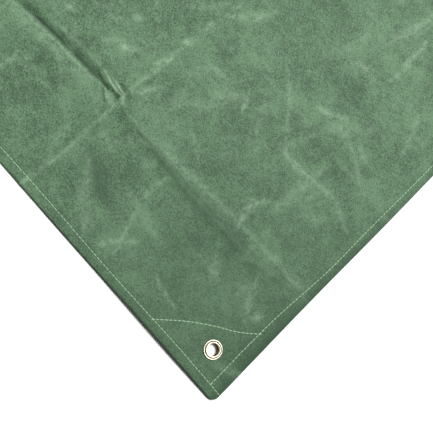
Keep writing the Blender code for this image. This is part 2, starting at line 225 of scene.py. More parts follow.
# Pale marks where the wax has been rubbed, in the same columns with a strength last.
RUB_MARKS = (
    # p_0,   q_0,   p_1,   q_1,   bow,    width,  strength
    (0.334, 0.1425, 0.304, 0.1385, 0.0006, 0.0015, 1.10),
    (0.322, 0.1445, 0.304, 0.1420, 0.0000, 0.0014, 1.20),
    (0.334, 0.1440, 0.322, 0.1405, 0.0000, 0.0032, 0.30),
    (0.319, 0.131, 0.308, 0.1235, 0.0000, 0.0036, 0.60),
    (0.304, 0.1385, 0.300, 0.137, 0.0000, 0.0036, 1.00),
    (0.307, 0.130, 0.301, 0.123, 0.0000, 0.0026, 0.45),
    (0.303, 0.146, 0.300, 0.153, 0.0000, 0.0018, 0.40),
    (0.450, 0.1165, 0.386, 0.1250, 0.0000, 0.0022, 0.42),
    (0.386, 0.1250, 0.336, 0.1288, 0.0000, 0.0022, 0.55),
    # this broad stroke is a painted highlight on the lit side of the crease beside it
    (0.440, 0.1120, 0.336, 0.1250, 0.0000, 0.0070, 0.20),
    (0.405, 0.1360, 0.345, 0.1430, 0.0000, 0.0050, 0.22),
    (0.301, 0.120, 0.302, 0.099, 0.0000, 0.0026, 0.38),
    (0.302, 0.099, 0.299, 0.062, 0.0000, 0.0026, 0.32),
    (0.299, 0.062, 0.304, 0.009, 0.0000, 0.0026, 0.38),
    (0.304, 0.150, 0.301, 0.235, 0.0000, 0.0028, 0.35),
    (0.301, 0.235, 0.295, 0.312, 0.0000, 0.0034, 0.32),
    (0.303, 0.011, 0.303, 0.004, 0.0000, 0.0024, 0.60),
    (0.296, 0.158, 0.288, 0.176, 0.0020, 0.0028, 0.70),
    (0.345, 0.175, 0.331, 0.184, 0.0000, 0.0036, 0.70),
    (0.340, 0.180, 0.334, 0.178, 0.0000, 0.0040, 0.40),
    (0.307, 0.193, 0.300, 0.208, 0.0010, 0.0028, 0.80),
    (0.303, 0.168, 0.300, 0.194, 0.0010, 0.0022, 0.45),
    (0.287, 0.098, 0.268, 0.097, 0.0010, 0.0034, 0.35),
    (0.229, 0.1375, 0.165, 0.147, 0.0000, 0.0042, 0.32),
    (0.165, 0.147, 0.112, 0.151, 0.0000, 0.0040, 0.30),
    (0.112, 0.151, 0.065, 0.154, 0.0000, 0.0040, 0.24),
    (0.065, 0.154, 0.014, 0.161, 0.0000, 0.0036, 0.24),
    (0.209, 0.124, 0.209, 0.081, 0.0020, 0.0026, 0.36),
    (0.209, 0.081, 0.188, 0.026, 0.0000, 0.0026, 0.34),
    (0.303, 0.234, 0.299, 0.242, 0.0010, 0.0044, 0.75),
    (0.301, 0.268, 0.297, 0.273, 0.0000, 0.0034, 0.60),
    (0.373, 0.188, 0.366, 0.193, 0.0000, 0.0036, 0.55),
    (0.358, 0.207, 0.351, 0.212, 0.0000, 0.0034, 0.60),
    (0.409, 0.157, 0.402, 0.162, 0.0000, 0.0036, 0.50),
    (0.404, 0.064, 0.403, 0.087, 0.0010, 0.0024, 0.50),
    (0.396, 0.086, 0.392, 0.091, 0.0000, 0.0034, 0.60),
    (0.344, 0.182, 0.360, 0.163, 0.0010, 0.0024, 0.40),
    (0.298, 0.288, 0.263, 0.341, 0.0040, 0.0050, 0.45),
    (0.330, 0.262, 0.305, 0.300, 0.0030, 0.0050, 0.30),
    (0.266, 0.240, 0.249, 0.244, 0.0010, 0.0030, 0.50),
    (0.209, 0.236, 0.215, 0.249, 0.0010, 0.0030, 0.60),
    (0.165, 0.268, 0.205, 0.306, 0.0020, 0.0030, 0.34),
    (0.160, 0.382, 0.146, 0.387, 0.0000, 0.0032, 0.70),
    (0.118, 0.402, 0.122, 0.470, 0.0020, 0.0034, 0.52),
    (0.149, 0.440, 0.140, 0.503, 0.0030, 0.0070, 0.40),
    (0.120, 0.313, 0.113, 0.324, 0.0000, 0.0130, 0.36),
    (0.153, 0.308, 0.120, 0.329, 0.0020, 0.0032, 0.50),
    (0.165, 0.268, 0.141, 0.243, 0.0000, 0.0034, 0.30),
    (0.141, 0.243, 0.106, 0.246, 0.0010, 0.0036, 0.55),
    (0.106, 0.246, 0.063, 0.255, 0.0000, 0.0034, 0.46),
    (0.063, 0.255, 0.025, 0.241, 0.0010, 0.0030, 0.34),
    (0.120, 0.187, 0.118, 0.148, 0.0060, 0.0040, 0.50),
    (0.132, 0.176, 0.116, 0.190, 0.0030, 0.0040, 0.35),
    (0.066, 0.153, 0.060, 0.158, 0.0000, 0.0040, 0.50),
    (0.036, 0.092, 0.029, 0.100, 0.0000, 0.0044, 0.45),
    (0.141, 0.043, 0.104, 0.036, 0.0010, 0.0022, 0.34),
    (0.038, 0.153, 0.016, 0.157, 0.0000, 0.0030, 0.40),
    (0.182, 0.050, 0.206, 0.020, 0.0020, 0.0028, 0.45),
    (0.258, 0.190, 0.232, 0.214, 0.0030, 0.0060, 0.22),
    (0.078, 0.210, 0.055, 0.232, 0.0030, 0.0060, 0.20),
    (0.190, 0.360, 0.176, 0.410, 0.0040, 0.0060, 0.25),
)

# Painted shade, mostly in and beside the creases, and some darker patches: the cloth is made
# deeper in colour along these strokes.
SHADE_AND_DEEP_MARKS = (
    # p_0,   q_0,   p_1,   q_1,   bow,    width,  strength
    (0.450, 0.1200, 0.405, 0.1270, 0.0000, 0.0020, 0.45),
    (0.420, 0.1255, 0.334, 0.1340, -0.0012, 0.0026, 1.70),
    (0.430, 0.1300, 0.340, 0.1400, 0.0010, 0.0060, 0.15),
    (0.334, 0.1350, 0.319, 0.1340, 0.0000, 0.0013, 2.00),
    (0.3225, 0.130, 0.311, 0.1215, 0.0000, 0.0010, 1.50),
    (0.315, 0.1365, 0.304, 0.1340, 0.0000, 0.0018, 0.80),
    (0.314, 0.1465, 0.301, 0.1470, 0.0000, 0.0022, 0.80),
    (0.265, 0.1275, 0.246, 0.1295, 0.0000, 0.0015, 0.80),
    (0.256, 0.1285, 0.203, 0.1285, 0.0000, 0.0055, 0.55),
    (0.203, 0.1285, 0.147, 0.1310, 0.0000, 0.0080, 0.65),
    (0.147, 0.1310, 0.085, 0.1390, 0.0000, 0.0080, 0.50),
    (0.160, 0.124, 0.150, 0.128, 0.0000, 0.0110, 0.35),
    (0.283, 0.078, 0.234, 0.056, 0.0020, 0.0080, 0.75),
    (0.268, 0.258, 0.264, 0.262, 0.0000, 0.0070, 0.80),
    (0.124, 0.282, 0.063, 0.304, 0.0000, 0.0090, 0.28),
    (0.136, 0.329, 0.130, 0.334, 0.0000, 0.0090, 0.40),
    (0.094, 0.342, 0.088, 0.350, 0.0000, 0.0100, 0.40),
    (0.088, 0.274, 0.080, 0.284, 0.0000, 0.0100, 0.40),
    (0.040, 0.362, 0.030, 0.376, 0.0000, 0.0090, 0.40),
    (0.197, 0.243, 0.171, 0.260, 0.0000, 0.0044, 0.60),
    (0.157, 0.250, 0.149, 0.262, 0.0000, 0.0044, 0.55),
    (0.258, 0.320, 0.250, 0.328, 0.0000, 0.0070, 0.40),
    (0.046, 0.141, 0.038, 0.150, 0.0000, 0.0070, 0.40),
    (0.078, 0.128, 0.068, 0.134, 0.0000, 0.0110, 0.40),
    (0.200, 0.300, 0.262, 0.246, 0.0030, 0.0040, 0.30),
    (0.334, 0.222, 0.328, 0.227, 0.0000, 0.0070, 0.40),
)
RUB_SPREAD = 1.15       # the pale marks are drawn this much broader
SCATTERED_RUBS = 230    # seeded pale marks over the whole cloth
SCATTER_SEED = 21
SCATTER_NEAR = 0.5      # and their strength where there are listed ones
CREASE_RUB_WIDTH = 0.0024
PATCH_DEPTH = 0.4       # how deep in colour the patches are

FLOOR_REACH = 30.0
LIT_POINT = (0.30, -0.25, 0.0)
KEY_PLACE = (0.62, 0.85, 2.30)
KEY_BREADTH = 17        # degrees
OVERHEAD_PLACE = (0.45, 0.80, 2.00)
OVERHEAD_SIZE = 1.9
CAMERA_PLACE = (0.1199, -0.6033, 0.9376)
CAMERA_RIGHT = (0.6312, 0.6950, 0.3442)
CAMERA_UP = (-0.7512, 0.6581, 0.0487)
CAMERA_BACK = (-0.1927, -0.2893, 0.9376)
CAMERA_LENS_MM = 77.85
CAMERA_SENSOR_MM = 36.0

# Inputs and output of a Mix node that mixes colours
MIX_FACTOR = 0
MIX_A = 6
MIX_B = 7
MIX_RESULT = 2


def linear(code):
    """A colour given as an sRGB hex code, in the linear values that Blender keeps."""
    values = [int(code[k:k + 2], 16) / 255 for k in (0, 2, 4)]
    turned = [v / 12.92 if v <= 0.04045 else ((v + 0.055) / 1.055) ** 2.4 for v in values]
    return (*turned, 1.0)


# ---- shape of the cloth
def smooth(edge_0, edge_1, value):
    """0 below edge_0, 1 above edge_1, and a soft step between them."""
    t = np.clip((value - edge_0) / (edge_1 - edge_0), 0.0, 1.0)
    return t * t * (3 - 2 * t)


def value_along(values, station):
    """A table's value at this distance along a crease, smoothly joined."""
    stations = np.array(PATH_STATIONS)
    given = np.array(values)
    index = np.clip(np.searchsorted(stations, station, side="right") - 1, 0, len(given) - 2)
    part = smooth(stations[index], stations[index + 1], station)
    return given[index] + (given[index + 1] - given[index]) * part


def unevenness(station, phase):
    """A fold's height varies this much along it."""
    return 0.95 + 0.15 * np.sin(station * 21 + phase) + 0.10 * np.sin(station * 53 + 2 * phase)


def ridge(distance, foot):
    return np.exp(-(np.sqrt(distance ** 2 + CREST ** 2) - CREST) / foot)


def trough(distance, foot):
    reach = (np.sqrt(distance ** 2 + CREST ** 2) - CREST) / (foot * TROUGH_FOOT)
    return reach * np.exp((1 - reach ** 2) / 2)


def fold_rise(p, q):
    """Height from the folds of the packet, as in the CAD."""
    rise = 0.0
    turn_here = 1.0
    for phase, (at, foot, sway, height) in enumerate(DOWN_FOLDS):
        distance = p - at - value_along(sway, q)
        rise = rise + value_along(height, q) * unevenness(q, phase) * ridge(distance, foot)
        turn_here = turn_here * (1 - 2 * smooth(-TURN_LENGTH, TURN_LENGTH, distance))
    for phase, (at, turn, foot, sway, height) in enumerate(CROSS_FOLDS):
        distance = q - at - value_along(sway, p)
        part = 0.5 + 0.5 * turn * turn_here
        shape = part * ridge(distance, foot) + (1 - part) * trough(distance, foot)
        rise = rise + value_along(height, p) * unevenness(p, phase + 4) * shape
    above = np.maximum(0.0, rise - RELIEF_FLOOR)
    return above * above / (above + RELIEF_FLOOR)


def lift_rise(p, q):
    """The front edge's raised stretch beside the +X corner."""
    share = np.clip((p - LIFT_FROM) / (LIFT_TO - LIFT_FROM), 0.0, 1.0)
    return LIFT_HEIGHT * np.sin(math.pi * share) ** 2 * (1 - smooth(0.0, LIFT_DEPTH, q))


def lumps(x, y, size, seed):
    """Soft random swells of about this size, from 0 to 1."""
    cells = int(1.2 / size) + 3
    values = np.random.default_rng(seed).random((cells, cells))
    u = (np.asarray(x) + 0.6) / size
    v = (np.asarray(y) + 0.6) / size
    i = np.floor(u).astype(int)
    j = np.floor(v).astype(int)
    a = smooth(0.0, 1.0, u - i)
    b = smooth(0.0, 1.0, v - j)
    low = values[i, j] * (1 - a) + values[i + 1, j] * a
    high = values[i, j + 1] * (1 - a) + values[i + 1, j + 1] * a
    return low * (1 - b) + high * b


def stroke(p, q, p_0, q_0, p_1, q_1, bow, width):
    """1 along a line from one point to the other, bowed aside, and 0 away from it."""
    length = math.hypot(p_1 - p_0, q_1 - q_0)
    along_p = (p_1 - p_0) / length
    along_q = (q_1 - q_0) / length
    run = (p - p_0) * along_p + (q - q_0) * along_q
    t = np.clip(run / length, 0.0, 1.0)
    aside = (q - q_0) * along_p - (p - p_0) * along_q - bow * 4 * t * (1 - t)
    past = run - t * length
    taper = 0.45 + 0.55 * np.sqrt(np.maximum(0.0, 4 * t * (1 - t)))
    return np.exp(-((aside / (width * taper)) ** 2) - (past / width) ** 2)


def strokes(p, q, rows, spread=1.0):
    """The strongest of several strokes at each point, their width times spread."""
    total = np.zeros_like(p)
    for *line, width, strength in rows:
        total = np.maximum(total, strength * stroke(p, q, *line, width * spread))
    return total


def from_corner(x, y):
    return LENGTH / 2 - np.abs(x), WIDTH / 2 - np.abs(y)


def seat_share(x, y):
    """1 on the level seat of an eyelet and 0 away from it."""
    in_x, in_y = from_corner(x, y)
    return 1 - smooth(SEAT_FLAT, SEAT_RUNOUT, np.hypot(in_x - EYELET_IN_X, in_y - EYELET_IN_Y))


def fine_rise(x, y, p, q):
    """Swells and short creases that are too small for the CAD."""
    rise = 0.0
    for size, height, seed in LUMPS:
        rise = rise + height * lumps(x, y, size, seed)
    for *line, width, height in SHORT_CREASES:
        rise = rise + height * stroke(p, q, *line, width)
    return rise


def relief(x, y):
    """How high the folds, the swells, the lifted edge and the eyelets' seats raise the cloth."""
    p = LENGTH / 2 - x
    q = WIDTH / 2 + y
    seat = seat_share(x, y)
    loose = fold_rise(p, q) + lift_rise(p, q) + fine_rise(x, y, p, q)
    return np.maximum(0.0, loose * (1 - seat) + SEAT_RISE * seat)


def patch_raise(in_x, in_y):
    """How much the patch under a corner raises the cloth above it."""
    slope = math.sqrt(PATCH_LEG_X ** -2 + PATCH_LEG_Y ** -2)
    past = (in_x / PATCH_LEG_X + in_y / PATCH_LEG_Y - 1) / slope - PATCH_BOW
    return (PATCH + GAP) * (1 - smooth(PATCH_RUNOUT, 2 * PATCH_RUNOUT, past))


def underside(x, y):
    """Height of the single layer's underside, inside the hem."""
    in_x, in_y = from_corner(x, y)
    hem_side = (HEM - CLOTH) * (1 - smooth(HEM_WIDTH, HEM_RUNOUT, np.minimum(in_x, in_y)))
    return np.maximum(hem_side, patch_raise(in_x, in_y)) + relief(x, y)


def in_hem(x, y):
    return np.minimum(*from_corner(x, y)) < HEM_WIDTH + HEM_STEP / 2


def seam_in_x(y):
    """How far in from the edge the stitching of the +X and -X hems runs at this Y."""
    q = WIDTH / 2 + y
    drift = SEAM_DRIFT * (1 - smooth(*SEAM_DRIFT_SPAN, q))
    return SEAM_IN + drift + 0.0005 * np.sin(q * 31)


def seam_in_y(x):
    return SEAM_IN + 0.0005 * np.sin((LENGTH / 2 - x) * 27)


def seam_pull(x, y):
    """How much the stitching pulls the cloth down, with the puckers beside it."""
    in_x, in_y = from_corner(x, y)
    uneven = 5 * lumps(x, y, PUCKER_LENGTH, 12)
    near = 0.0
    beside = 0.0
    for off, along in ((in_x - seam_in_x(y), y), (in_y - seam_in_y(x), x)):
        near = near + np.exp(-(off / SEAM_GROOVE_WIDTH) ** 2)
        wave = np.sin(along * math.tau / PUCKER_LENGTH + uneven)
        beside = beside + wave * np.exp(-(2 * off / PUCKER_LENGTH) ** 2)
    return SEAM_GROOVE * np.minimum(near, 1.0) - PUCKER * beside


def patch_seam_points():
    """The patch's stitching as a smooth line of many points, from the tarp's corner."""
    knots = np.array(PATCH_SEAM)
    ends = np.vstack([2 * knots[0] - knots[1], knots, 2 * knots[-1] - knots[-2]])
    points = []
    for a, b, c, d in zip(ends, ends[1:], ends[2:], ends[3:]):
        for t in np.linspace(0.0, 1.0, PATCH_SEAM_STEPS, endpoint=False):
            bend = 2 * b + (c - a) * t + (2 * a - 5 * b + 4 * c - d) * t ** 2
            points.append((bend + (3 * b - a - 3 * c + d) * t ** 3) / 2)
    points.append(knots[-1])
    return np.array(points)


def patch_seam_pull(x, y):
    in_x, in_y = from_corner(x, y)
    line = patch_seam_points()
    near = (in_x < PATCH_SEAM_REACH[0]) & (in_y < PATCH_SEAM_REACH[1])
    pull = np.zeros_like(x)
    gaps = np.hypot(in_x[near][:, None] - line[:, 0], in_y[near][:, None] - line[:, 1])
    pull[near] = SEAM_GROOVE * np.exp(-((gaps.min(axis=1) / (1.8 * SEAM_GROOVE_WIDTH)) ** 2))
    return pull


def top_height(x, y):
    """The upper face, before the stitching pulls it in."""
    return np.where(in_hem(x, y), HEM + relief(x, y), underside(x, y) + CLOTH)


def bottom_height(x, y):
    """The lower face, which the hem brings down to the floor's side."""
    return np.where(in_hem(x, y), relief(x, y), underside(x, y))


# ---- lines of the cloth's grid
def march(start, end, creases, near_reach, pinch):
    """Lines from start to end, closer together near the +X or front edge and beside creases."""
    lines = [start]
    while lines[-1] < end:
        here = lines[-1]
        pace = NEAR_PACE if here < near_reach else FAR_PACE
        if min(abs(here - at) for at in creases) < CREASE_BAND:
            pace = min(pace, CREASE_PACE)
        if pinch[0] < here < pinch[1]:
            pace = PINCH_PACE
        lines.append(here + pace)
    stretch = (end - start) / (lines[-1] - start)
    return [start + (line - start) * stretch for line in lines]


def lines_across(size, creases, near_reach, pinch):
    edge = EDGE_LINES[-1]
    inner = march(edge, size - edge, creases, near_reach, pinch)
    return np.array(list(EDGE_LINES[:-1]) + inner + [size - line for line in EDGE_LINES[-2::-1]])


def drawn_along(value, station, folds):
    """Moves grid lines so that they follow the creases beside them."""
    moved = value
    for at, sway, room in folds:
        moved = moved + value_along(sway, station) * np.maximum(0.0, 1 - np.abs(value - at) / room)
    return moved


def round_corner(in_x, in_y):
    """Turns the square of grid at a corner into a quarter disc."""
    s = 1 - in_x / CORNER_RADIUS
    t = 1 - in_y / CORNER_RADIUS
    inside = (s > 0) & (t > 0)
    across = s * np.sqrt(np.maximum(0.0, 1 - t * t / 2))
    along = t * np.sqrt(np.maximum(0.0, 1 - s * s / 2))
    inset = 1 - np.sqrt(np.maximum(0.0, s * s + t * t - s * s * t * t))
    return (
        np.where(inside, CORNER_RADIUS * (1 - across), in_x),
        np.where(inside, CORNER_RADIUS * (1 - along), in_y),
        np.where(inside, CORNER_RADIUS * inset, np.minimum(in_x, in_y)),
    )


def place(p, q):
    """X, Y and the distance in from the edge, for the grid point p, q."""
    moved_p = drawn_along(p, q, [(at, sway, FOLLOW_P) for at, _, sway, _ in DOWN_FOLDS])
    moved_q = drawn_along(q, p, [(at, sway, FOLLOW_Q) for at, _, _, sway, _ in CROSS_FOLDS])
    x = LENGTH / 2 - moved_p
    y = moved_q - WIDTH / 2
    in_x, in_y, inset = round_corner(*from_corner(x, y))
    sway_x = np.sin(math.pi * q / WIDTH * 3) ** 2 * np.maximum(0.0, 1 - in_x / HEM_WIDTH)
    sway_y = np.sin(math.pi * p / LENGTH * 4) ** 2 * np.maximum(0.0, 1 - in_y / HEM_WIDTH)
    x = np.sign(x) * (LENGTH / 2 - in_x - EDGE_SWAY * sway_x)
    y = np.sign(y) * (WIDTH / 2 - in_y - EDGE_SWAY * sway_y)
    return x, y, inset


def edge_drop(inset):
    """How far each face of the hem curves in at its folded edge."""
    radius = HEM / 2
    into = np.clip(radius - inset, 0.0, radius)
    return radius - np.sqrt(radius ** 2 - into ** 2)


# ---- mesh helpers
def mesh_object(name, points, faces, edges=()):
    mesh = bpy.data.meshes.new(name)
    mesh.from_pydata([tuple(point) for point in points], list(edges), faces)
    mesh.update()
    made = bpy.data.objects.new(name, mesh)
    bpy.context.scene.collection.objects.link(made)
    return made


def dress(made, finish, sharp_degrees):
    """Gives an object its only material, and smooth shading up to this angle."""
    made.data.materials.clear()
    made.data.materials.append(finish)
    made.data.shade_smooth()
    made.data.set_sharp_from_angle(angle=math.radians(sharp_degrees))


def face_outwards(made, merge=0.0):
    body = bmesh.new()
    body.from_mesh(made.data)
    if merge:
        bmesh.ops.remove_doubles(body, verts=body.verts, dist=merge)
    bmesh.ops.recalc_face_normals(body, faces=body.faces)
    body.to_mesh(made.data)
    body.free()


def plain_mesh(made):
    """Replaces an object's mesh by its evaluated one and takes its modifiers off."""
    evaluated = made.evaluated_get(bpy.context.evaluated_depsgraph_get())
    finished = bpy.data.meshes.new_from_object(evaluated)
    made.modifiers.clear()
    made.data = finished


def set_attribute(made, name, values):
    layer = made.data.attributes.new(name, "FLOAT", "POINT")
    layer.data.foreach_set("value", np.asarray(values, dtype=np.float32))


def coordinates(made):
    flat = np.empty(len(made.data.vertices) * 3, dtype=np.float32)
    made.data.vertices.foreach_get("co", flat)
    return flat.reshape(-1, 3).astype(float)


def eyelet_places():
    return [
        (side_x * (LENGTH / 2 - EYELET_IN_X), side_y * (WIDTH / 2 - EYELET_IN_Y))
        for side_x, side_y in CORNERS
    ]


def punch_holes(made, places):
    cutters = []
    for x, y in places:
        bpy.ops.mesh.primitive_cylinder_add(
            vertices=HOLE_SIDES, radius=HOLE_RADIUS, depth=0.03, location=(x, y, 0.0)
        )
        cutter = bpy.context.active_object
        hole = made.modifiers.new("eyelet_hole", "BOOLEAN")
        hole.operation = "DIFFERENCE"
        hole.solver = "MANIFOLD"
        hole.object = cutter
        cutters.append(cutter)
    plain_mesh(made)
    for cutter in cutters:
        bpy.data.objects.remove(cutter, do_unlink=True)


def ring(name, profile, x, y, z, steps):
    """A closed outline of (radius, height) points turned about an upright axis."""
    count = len(profile)
    points = []
    faces = []
    for step in range(steps):
        turn = math.tau * step / steps
        for radius, height in profile:
            points.append((x + radius * math.cos(turn), y + radius * math.sin(turn), z + height))
        start = step * count
        after = (step + 1) % steps * count
        for k in range(count):
            m = (k + 1) % count
            faces.append((start + k, start + m, after + m, after + k))
    made = mesh_object(name, points, faces)
    face_outwards(made)
    return made


# ---- material helpers
def fill(tree, node, inputs):
    """Gives a node's inputs their constants or links."""
    for key, value in inputs.items():
        if isinstance(value, bpy.types.NodeSocket):
            tree.links.new(value, node.inputs[key])
        else:
            node.inputs[key].default_value = value


def add_node(tree, kind, settings=None, inputs=None):
    """Adds a node, sets its properties, and fills its inputs with constants or links."""
    node = tree.nodes.new(kind)
    for name, value in (settings or {}).items():
        setattr(node, name, value)
    fill(tree, node, inputs or {})
    return node


def new_finish(name):
    """A material with only a Principled shader, and its tree and shader."""
    finish = bpy.data.materials.new(name)
    finish.use_nodes = True
    tree = finish.node_tree
    tree.nodes.clear()
    shader = add_node(tree, "ShaderNodeBsdfPrincipled")
    add_node(tree, "ShaderNodeOutputMaterial", None, {"Surface": shader.outputs["BSDF"]})
    return finish, tree, shader


def object_place(tree):
    return add_node(tree, "ShaderNodeTexCoord").outputs["Object"]


def painted(tree, name):
    """The value that the mesh holds under this name."""
    return add_node(tree, "ShaderNodeAttribute", {"attribute_name": name}).outputs["Fac"]


def maths(tree, operation, *terms, clamp=False):
    settings = {"operation": operation, "use_clamp": clamp}
    return add_node(tree, "ShaderNodeMath", settings, dict(enumerate(terms))).outputs[0]


def bumped(tree, height, strength, distance):
    inputs = {"Height": height, "Strength": strength, "Distance": distance}
    return add_node(tree, "ShaderNodeBump", None, inputs).outputs["Normal"]


def noise(tree, where, size, detail, roughness, stretch=(1, 1, 1), shift=0.0, distortion=0.0):
    """Noise whose grains are about this many metres, longer along X or Y where stretched."""
    scale = tuple(1 / (size * part) for part in stretch)
    placed = {"Vector": where, "Location": (shift, shift, shift), "Scale": scale}
    mapped = add_node(tree, "ShaderNodeMapping", None, placed)
    made = add_node(tree, "ShaderNodeTexNoise", None, {
        "Vector": mapped.outputs["Vector"],
        "Scale": 1.0,
        "Detail": detail,
        "Roughness": roughness,
        "Distortion": distortion,
    })
    return made.outputs["Fac"]


def weighted(tree, terms, start):
    """start plus each (socket, weight), with the socket counted from its middle of 0.5."""
    total = start - sum(weight for _, weight in terms) / 2
    for socket, weight in terms:
        total = maths(tree, "MULTIPLY_ADD", socket, weight, total)
    return total


def mixed(tree, factor, colour_a, colour_b):
    settings = {"data_type": "RGBA", "clamp_factor": True}
    inputs = {MIX_FACTOR: factor, MIX_A: colour_a, MIX_B: colour_b}
    return add_node(tree, "ShaderNodeMix", settings, inputs).outputs[MIX_RESULT]


# ---- finishes
CLOUD = 0.060           # mottling of the proofing, from broad to fine
BLOTCH = 0.017
FLECK = 0.0058
GRAIN = 0.0021
# A duck of this weight has a thread about every 0.6 mm. Its yarns are drawn a little coarser,
# as slubs three times as long, so that they show from the camera.
YARN = 0.0007
SLUB = 3


def waxed_duck(name, settings):
    """Cotton duck: plain woven, dyed and proofed with wax. The wax pales where the cloth is rubbed
    or creased, so the green is mottled and dull. The deep attribute darkens it with painted shade
    in the creases, on the hems, at their edges and towards the corners, and in some darker
    patches."""
    finish, tree, shader = new_finish(name)
    where = object_place(tree)
    cloud = noise(tree, where, CLOUD, 2.0, 0.5, shift=3.1)
    blotch = noise(tree, where, BLOTCH, 2.0, 0.5, shift=7.7, distortion=0.8)
    fleck = noise(tree, where, FLECK, 2.0, 0.6, shift=1.9)
    grain = noise(tree, where, GRAIN, 1.0, 0.5, shift=5.3)
    warp = noise(tree, where, YARN, 1.0, 0.6, stretch=(1, SLUB, 1))
    weft = noise(tree, where, YARN, 1.0, 0.6, stretch=(SLUB, 1, 1), shift=4.4)
    shares = (
        (cloud, 0.75), (blotch, 0.72), (fleck, 0.34), (grain, 0.15), (warp, 1.35), (weft, 1.35)
    )
    tone = weighted(tree, [(part, share * settings.mottle) for part, share in shares], 0.5)
    body = mixed(tree, tone, settings.deep_colour, settings.light_colour)
    # painted shade: the deep attribute blends the cloth towards the darkest green
    deepened = maths(tree, "MULTIPLY", painted(tree, "deep"), settings.deepening)
    body = mixed(tree, deepened, body, settings.shade_and_darkest_colour)
    broken = weighted(tree, ((fleck, 1.7), (grain, 1.0)), 0.56)
    rubbed = maths(tree, "MULTIPLY", painted(tree, "rub"), broken, clamp=True)
    yarns = weighted(tree, ((warp, 0.5), (weft, 0.5), (grain, 0.25), (fleck, 0.5)), 0.5)
    fill(tree, shader, {
        "Base Color": mixed(tree, rubbed, body, settings.rub_colour),
        "Roughness": weighted(tree, ((blotch, 0.22), (grain, 0.15)), 0.66),
        "Normal": bumped(tree, yarns, 0.8, settings.weave_depth),
        "IOR": 1.45,
        "Specular IOR Level": 0.35,
        "Sheen Weight": 0.08,
        "Sheen Roughness": 0.5,
    })
    return finish


def spun_thread(settings):
    """Bonded polyester thread: two plies twisted together, so fine shadows break its soft
    shine."""
    finish, tree, shader = new_finish("bonded polyester thread")
    where = object_place(tree)
    ply = noise(tree, where, 0.0012, 1.0, 0.5, shift=2.2)
    soil = noise(tree, where, 0.030, 2.0, 0.6, shift=6.1)
    tone = weighted(tree, ((ply, 1.3), (soil, 1.2)), 0.5)
    fill(tree, shader, {
        "Base Color": mixed(tree, tone, settings.thread_shadow, settings.thread_colour),
        "Normal": bumped(tree, ply, 0.6, 0.0003),
        "Roughness": 0.55,
        "IOR": 1.54,
        "Sheen Weight": 0.1,
    })
    return finish


def nickelled_brass(settings):
    """Spun brass with a thin nickel plate: bright and warm white on the dome. Down the throat it
    is dull brown, bare brass darkened as painted shade, and the groove is painted the same dark
    brown as painted shade."""
    finish, tree, shader = new_finish("nickelled brass")
    where = object_place(tree)
    smudge = noise(tree, where, 0.010, 2.0, 0.5, shift=1.2)
    throat = painted(tree, "throat")
    plate = mixed(tree, smudge, settings.plate_shadow, settings.plate_colour)
    fill(tree, shader, {
        "Base Color": mixed(tree, throat, plate, settings.brass_and_shade_colour),
        "Roughness": weighted(tree, ((smudge, 0.15), (throat, 0.20)), 0.58),
        "Normal": bumped(tree, smudge, 0.1, 0.0004),
        "Metallic": 1.0,
    })
    return finish


def matt_paper(settings):
    """Seamless paper: matt and nearly white."""
    finish, tree, shader = new_finish("seamless paper")
    looks = {"Base Color": settings.floor_colour, "Roughness": 0.9, "Specular IOR Level": 0.2}
    fill(tree, shader, looks)
    return finish


# ---- settings
def colour_setting(name, description, code):
    return bpy.props.FloatVectorProperty(
        name=name, description=description, default=linear(code),
        subtype="COLOR", size=4, min=0.0, max=1.0,
    )


def amount(name, description, default, least=0.0, **kind):
    return bpy.props.FloatProperty(
        name=name, description=description, default=default, min=least, **kind
    )


def size_setting(name, description, default, least=0.0):
    return amount(name, description, default, least, subtype="DISTANCE", unit="LENGTH")


class TarpCanvasSettings(bpy.types.PropertyGroup):
    light_colour: colour_setting("Light green", "Where the wax is thin", "678868")
    deep_colour: colour_setting("Deep green", "Where the wax is thick", "314d33")
    # painted shade in the creases, on the hems' edges and towards the corners, and the darkest
    # patches
    shade_and_darkest_colour: colour_setting("Darkest green", "In the deepest marks", "28432c")
    rub_colour: colour_setting("Rubbed wax", "Pale marks on creases", "94b193")
    mottle: amount("Mottling", "Strength of the colour's variation", 1.55)
    deepening: amount("Deepening", "Strength of the deep marks", 0.6)
    weave_depth: size_setting("Weave depth", "Height of the yarns", 0.0005)


class TarpSeamSettings(bpy.types.PropertyGroup):
    thread_colour: colour_setting("Thread", "Pale green thread", "a6c9a4")
    thread_shadow: colour_setting("Thread in shadow", "Between the plies", "86aa84")
    pitch: size_setting("Stitch", "Length of one stitch", 0.0047, 0.001)
    thickness: size_setting("Thread", "Breadth of the thread", 0.0011, 0.0003)


class TarpEyeletSettings(bpy.types.PropertyGroup):
    plate_colour: colour_setting("Plate", "Bright nickel", "f8f4e2")
    plate_shadow: colour_setting("Dull plate", "Smudged nickel", "dcd6bc")
    # painted shade: bare brass darkened down the throat, and the same dark brown in the groove
    brass_and_shade_colour: colour_setting("Throat", "Bare brass inside", "6a4c1e")
    steps: bpy.props.IntProperty(
        name="Steps", description="Sides of each turned ring", default=64, min=12
    )


class TarpStageSettings(bpy.types.PropertyGroup):
    floor_colour: colour_setting("Floor", "Pale paper", "fafaf9")
    key_strength: amount("Key light", "Strength of the high light behind", 2.45)
    overhead_power: amount("Overhead light", "Power of the broad light", 37.0, unit="POWER")
    sky_strength: amount("Fill", "Even light from all around", 0.09)


SETTINGS = {
    "tarp_canvas": TarpCanvasSettings,
    "tarp_seams": TarpSeamSettings,
    "tarp_eyelets": TarpEyeletSettings,
    "tarp_stage": TarpStageSettings,
}


def given_piece(made, nodes):
    """A finished piece stands for its CAD nodes, which it hides, and rides on the body."""
    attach(made, "root")
    if nodes:
        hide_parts(*nodes)
    return made


